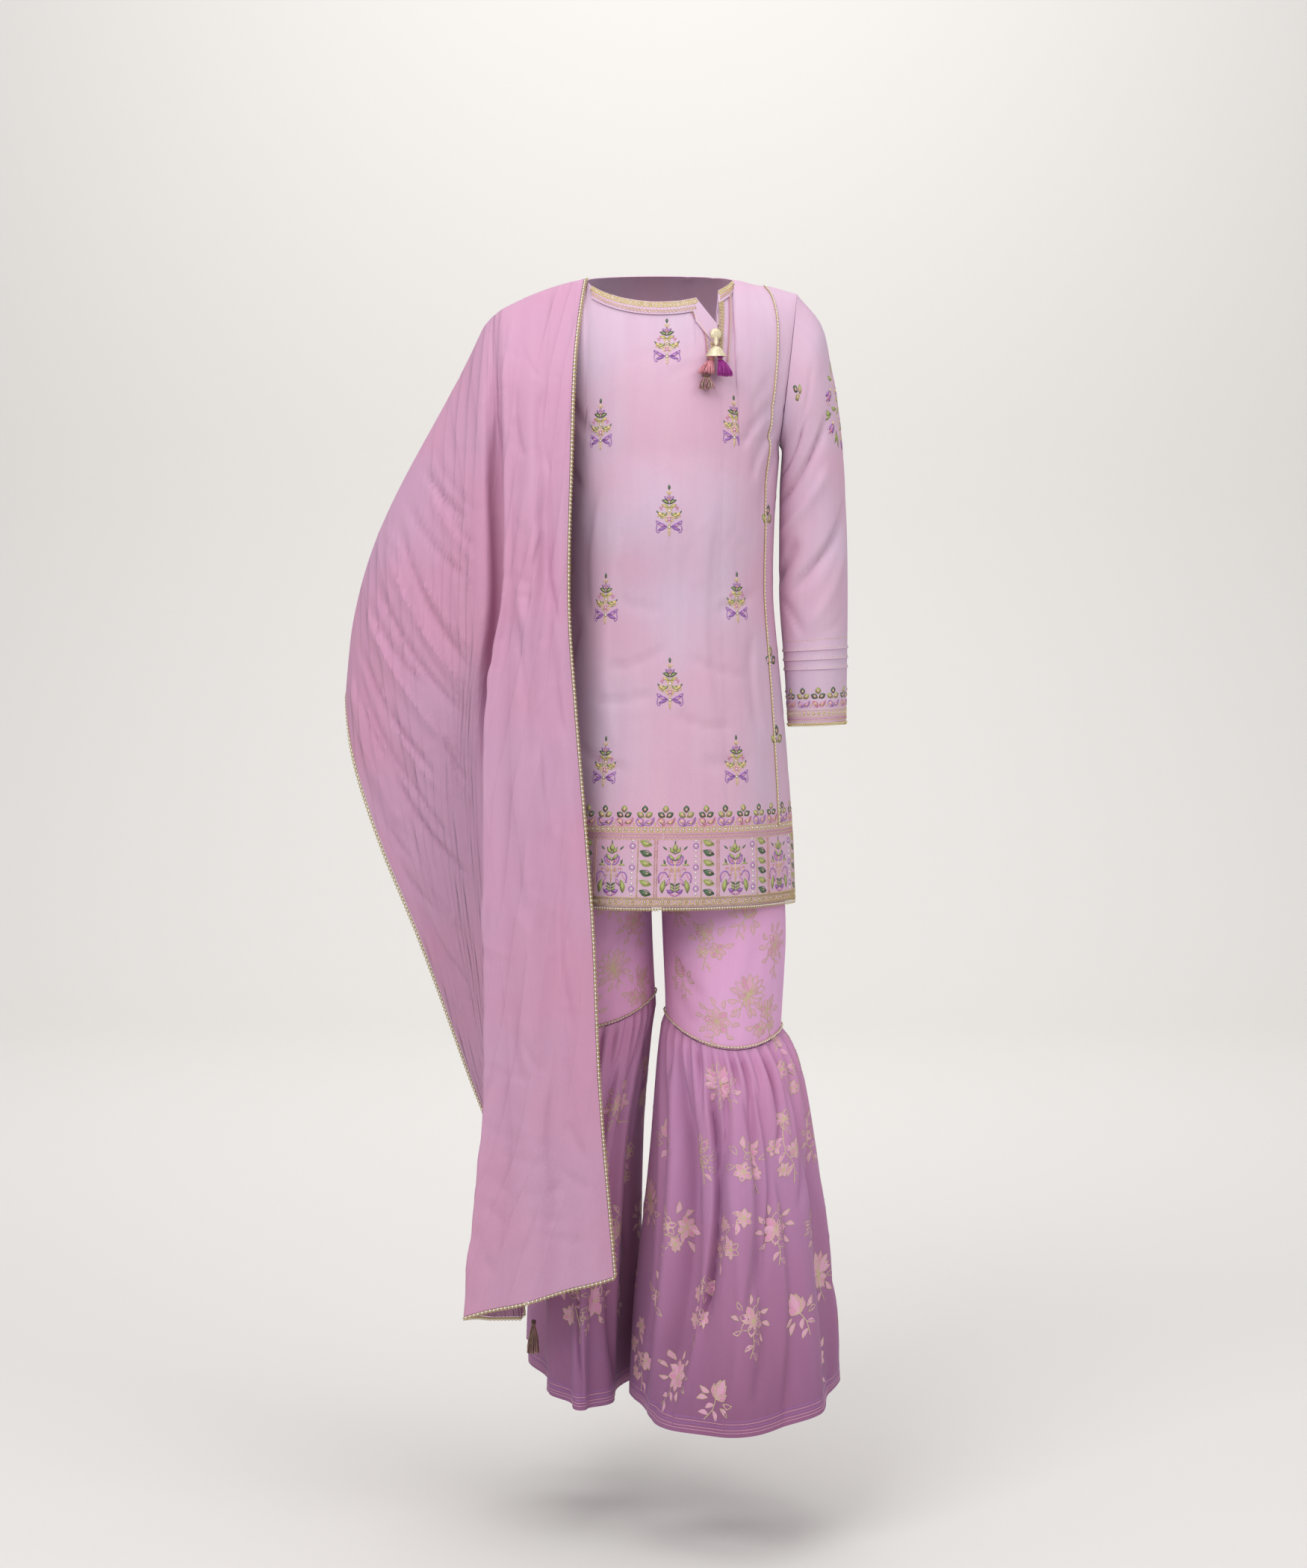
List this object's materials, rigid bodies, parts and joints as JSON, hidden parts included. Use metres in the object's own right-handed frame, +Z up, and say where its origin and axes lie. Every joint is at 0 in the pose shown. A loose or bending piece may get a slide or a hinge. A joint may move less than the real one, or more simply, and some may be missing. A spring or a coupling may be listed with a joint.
{
  "type": "three-piece worn suit",
  "caption": "Worn three-piece cotton suit: a long tunic with a slit neck, wide gathered trousers and a long scarf draped over one shoulder.",
  "frame": {"origin": "middle of the shoulder line at the base of the neck, where the wearer's shoulders hold the suit", "axes": "+Z up, -Y out of the front, +X towards the wearer's left arm"},
  "size_m": [0.615, 0.4499, 1.3758],
  "materials": {
    "tunic_cloth": "satin",
    "border_cloth": "matte",
    "trouser_cloth": "satin",
    "scarf_cloth": "satin",
    "gold_lace": "satin",
    "gold_bead": "satin",
    "pink_thread": "matte",
    "purple_thread": "matte",
    "brown_thread": "matte"
  },
  "bodies": {
    "root": {"kurta_front_centre": "tunic_cloth", "kurta_front_side_left": "tunic_cloth", "kurta_front_side_right": "tunic_cloth", "kurta_back": "tunic_cloth", "sleeve_left": "tunic_cloth", "sleeve_right": "tunic_cloth", "hem_border_front": "border_cloth", "hem_border_back": "border_cloth", "neck_border": "border_cloth", "hem_lace_front": "gold_lace", "hem_lace_back": "gold_lace", "panel_lace_left": "gold_lace", "panel_lace_right": "gold_lace", "cuff_lace_left": "gold_lace", "cuff_lace_right": "gold_lace", "knee_lace_left": "gold_lace", "knee_lace_right": "gold_lace", "scarf_lace": "gold_lace", "waistband": "trouser_cloth", "trouser_front_left": "trouser_cloth", "trouser_front_right": "trouser_cloth", "trouser_back_left": "trouser_cloth", "trouser_back_right": "trouser_cloth", "flare_front_left": "trouser_cloth", "flare_front_right": "trouser_cloth", "flare_back_left": "trouser_cloth", "flare_back_right": "trouser_cloth", "scarf": "scarf_cloth", "pendant_button": "border_cloth", "pendant_bead": "gold_bead", "pendant_bell": "gold_bead", "tassel_pink": "pink_thread", "tassel_purple": "purple_thread", "tassel_brown": "brown_thread", "tassel_corner": "brown_thread"}
  },
  "joints": []
}
